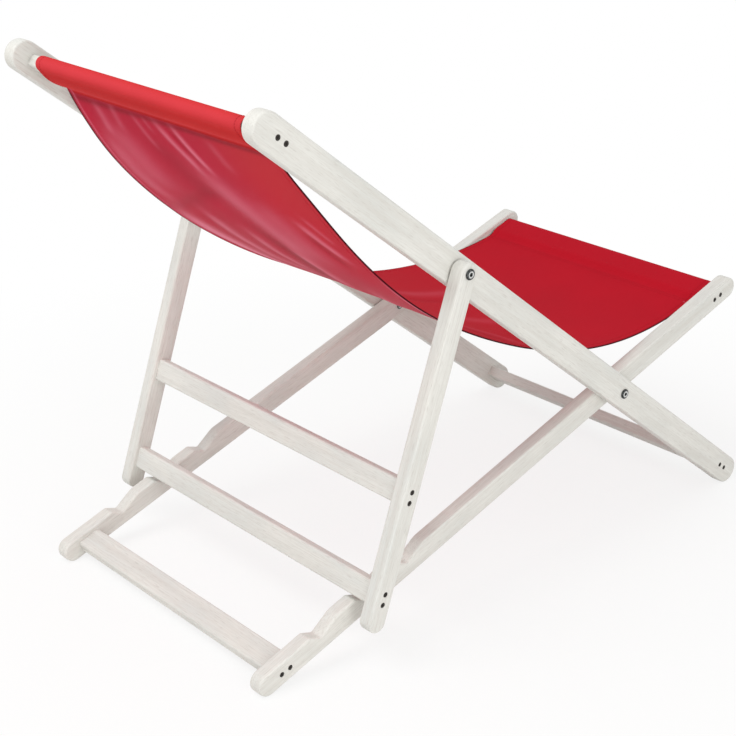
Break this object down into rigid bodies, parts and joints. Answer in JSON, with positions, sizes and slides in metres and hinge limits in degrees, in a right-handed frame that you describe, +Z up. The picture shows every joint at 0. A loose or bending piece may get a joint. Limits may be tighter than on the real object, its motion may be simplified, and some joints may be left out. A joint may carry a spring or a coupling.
{
  "type": "folding beach chair",
  "caption": "Folding wooden beach chair: pinned frames, a prop that drops into notches to set the recline, and a hanging cloth sling seat.",
  "frame": {"origin": "on the floor, under the middle of the chair's outline, as it stands open", "axes": "+X towards the sitter's feet, +Y to the sitter's left, +Z up"},
  "size_m": [0.9594, 0.5758, 0.7576],
  "materials": {
    "wood": "white-washed beech with fine grain, satin",
    "canvas": "plain red woven canvas",
    "zinc_steel": "bright zinc plate",
    "screw_steel": "dark oxidised steel"
  },
  "bodies": {
    "back_frame": {"back_rail_left": "wood", "back_rail_right": "wood", "head_bar": "wood", "stretcher_bar": "wood", "head_bar_screw_left_1": "screw_steel", "head_bar_screw_left_2": "screw_steel", "head_bar_screw_right_1": "screw_steel", "head_bar_screw_right_2": "screw_steel", "stretcher_bar_screw_left_1": "screw_steel", "stretcher_bar_screw_left_2": "screw_steel", "stretcher_bar_screw_right_1": "screw_steel", "stretcher_bar_screw_right_2": "screw_steel", "frame_bolt_left": "zinc_steel", "frame_bolt_right": "zinc_steel", "prop_bolt_left": "zinc_steel", "prop_bolt_right": "zinc_steel", "frame_nut_left": "zinc_steel", "frame_nut_right": "zinc_steel", "prop_nut_left": "zinc_steel", "prop_nut_right": "zinc_steel", "frame_washer_left": "zinc_steel", "frame_washer_right": "zinc_steel", "prop_washer_left": "zinc_steel", "prop_washer_right": "zinc_steel", "sling": "canvas"},
    "seat_frame": {"seat_rail_left": "wood", "seat_rail_right": "wood", "knee_bar": "wood", "rear_bar": "wood", "knee_bar_screw_left_1": "screw_steel", "knee_bar_screw_left_2": "screw_steel", "knee_bar_screw_right_1": "screw_steel", "knee_bar_screw_right_2": "screw_steel", "rear_bar_screw_left_1": "screw_steel", "rear_bar_screw_left_2": "screw_steel", "rear_bar_screw_right_1": "screw_steel", "rear_bar_screw_right_2": "screw_steel"},
    "prop_frame": {"prop_leg_left": "wood", "prop_leg_right": "wood", "prop_upper_bar": "wood", "prop_lower_bar": "wood", "prop_upper_bar_screw_left_1": "screw_steel", "prop_upper_bar_screw_left_2": "screw_steel", "prop_upper_bar_screw_right_1": "screw_steel", "prop_upper_bar_screw_right_2": "screw_steel", "prop_lower_bar_screw_left_1": "screw_steel", "prop_lower_bar_screw_left_2": "screw_steel", "prop_lower_bar_screw_right_1": "screw_steel", "prop_lower_bar_screw_right_2": "screw_steel"}
  },
  "joints": [
    {"name": "frame_fold", "type": "hinge", "parent": "back_frame", "child": "seat_frame", "pos_m": [0.18244, 0, 0.23624], "axis": [0, 1, 0], "range_deg": [0, 44.6], "deforming": ["sling"]},
    {"name": "prop_swing", "type": "hinge", "parent": "back_frame", "child": "prop_frame", "pos_m": [-0.16676, 0, 0.50882], "axis": [0, 1, 0], "range_deg": [0, 102.6]}
  ],
  "couplings": [
    {"joint": "prop_swing", "follows": "frame_fold", "ratio": 2.3}
  ]
}
